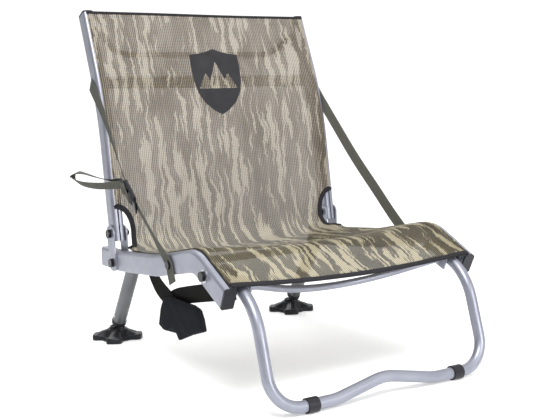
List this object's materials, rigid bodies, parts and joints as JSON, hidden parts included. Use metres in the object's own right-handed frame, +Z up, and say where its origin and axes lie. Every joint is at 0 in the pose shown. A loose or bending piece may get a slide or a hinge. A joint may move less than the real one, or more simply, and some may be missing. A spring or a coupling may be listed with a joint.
{
  "type": "low folding field chair",
  "caption": "Low folding field chair with a sagging mesh sling on a bent tube frame, a front hoop leg, swivelling ball-jointed rear feet, limit straps and a carry strap.",
  "frame": {"origin": "on the ground in the chair's plane of symmetry, about the middle of its footprint and 205 mm in front of the back's hinge line", "axes": "+X towards the sitter's left, -Y the way the chair faces, +Z up"},
  "size_m": [0.5775, 0.6649, 0.648],
  "materials": {
    "frame_tube": "satin lavender-grey coat on aluminium tube",
    "zinc_plate": "plated, slightly dull",
    "black_hardware": "black, satin",
    "black_plastic": "fine-grained",
    "grey_plastic": "smooth",
    "mesh_fabric": "woven mesh printed with vertical bark streaks",
    "black_binding": "folded edge tape",
    "edge_rod": "smooth rod in a fabric hem",
    "olive_webbing": "flat woven webbing",
    "black_webbing": "flat woven webbing",
    "pad_fabric": "padded, stitched"
  },
  "bodies": {
    "seat_frame": {"carry_pad": "pad_fabric", "carry_strap": "black_webbing", "crossbar_bracket_left": "zinc_plate", "crossbar_bracket_right": "zinc_plate", "crossbar_screws": "black_hardware", "front_binding": "black_binding", "front_cap_left": "black_plastic", "front_cap_right": "black_plastic", "front_crossbar": "frame_tube", "hinge_bolts_lower": "black_hardware", "hinge_bolts_upper": "black_hardware", "hinge_plate_inner_left": "zinc_plate", "hinge_plate_inner_right": "zinc_plate", "hinge_plate_outer_left": "zinc_plate", "hinge_plate_outer_right": "zinc_plate", "hoop_pivot_bolts": "black_hardware", "hoop_pivot_washers": "zinc_plate", "limit_strap_left": "olive_webbing", "limit_strap_right": "olive_webbing", "pivot_nuts": "black_hardware", "pivot_spacers": "zinc_plate", "rear_plug_left": "grey_plastic", "rear_plug_right": "grey_plastic", "seat_edge_rods": "edge_rod", "seat_rail_left": "frame_tube", "seat_rail_right": "frame_tube", "seat_sling": "mesh_fabric", "sling_fold": "mesh_fabric", "strap_bolts": "black_hardware", "strap_buckle": "black_plastic", "strap_tail_loop": "olive_webbing"},
    "back_frame": {"back_upright_left": "frame_tube", "back_upright_right": "frame_tube", "upright_cap_left": "black_plastic", "upright_cap_right": "black_plastic", "back_crossbar": "frame_tube", "back_sling": "mesh_fabric", "top_binding": "black_binding", "back_edge_rods": "edge_rod", "back_band": "olive_webbing"},
    "hoop_leg": {"front_hoop": "frame_tube", "floor_clip_left": "black_plastic", "floor_clip_right": "black_plastic"},
    "rear_leg_pair": {"rear_leg_left": "frame_tube", "rear_leg_right": "frame_tube", "rear_crossbar": "frame_tube", "foot_stem_left": "black_plastic", "foot_stem_right": "black_plastic", "leg_rivets": "zinc_plate"},
    "ball_cup_left": {"foot_cup_left": "black_plastic"},
    "ball_cup_right": {"foot_cup_right": "black_plastic"},
    "shoe_left": {"foot_left": "black_plastic"},
    "shoe_right": {"foot_right": "black_plastic"}
  },
  "joints": [
    {"name": "back_fold", "type": "hinge", "parent": "seat_frame", "child": "back_frame", "pos_m": [0, 0.205, 0.228], "axis": [1, 0, 0], "range_deg": [0, 92], "deforming": ["limit_strap_left", "limit_strap_right", "strap_buckle", "strap_tail_loop", "sling_fold"]},
    {"name": "front_leg_fold", "type": "hinge", "parent": "seat_frame", "child": "hoop_leg", "pos_m": [0, -0.17, 0.202], "axis": [1, 0, 0], "range_deg": [0, 114]},
    {"name": "rear_leg_fold", "type": "hinge", "parent": "seat_frame", "child": "rear_leg_pair", "pos_m": [0, 0.198, 0.174], "axis": [-1, 0, 0], "range_deg": [0, 96], "deforming": ["carry_strap", "carry_pad"]},
    {"name": "foot_tilt_left", "type": "hinge", "parent": "rear_leg_pair", "child": "ball_cup_left", "pos_m": [-0.207, 0.30633, 0.02157], "axis": [1, 0, 0], "range_deg": [-15, 15]},
    {"name": "foot_swivel_left", "type": "hinge", "parent": "ball_cup_left", "child": "shoe_left", "pos_m": [-0.207, 0.30633, 0.02157], "axis": [0, 0, 1], "continuous": true},
    {"name": "foot_tilt_right", "type": "hinge", "parent": "rear_leg_pair", "child": "ball_cup_right", "pos_m": [0.207, 0.30633, 0.02157], "axis": [1, 0, 0], "range_deg": [-15, 15]},
    {"name": "foot_swivel_right", "type": "hinge", "parent": "ball_cup_right", "child": "shoe_right", "pos_m": [0.207, 0.30633, 0.02157], "axis": [0, 0, 1], "continuous": true}
  ]
}
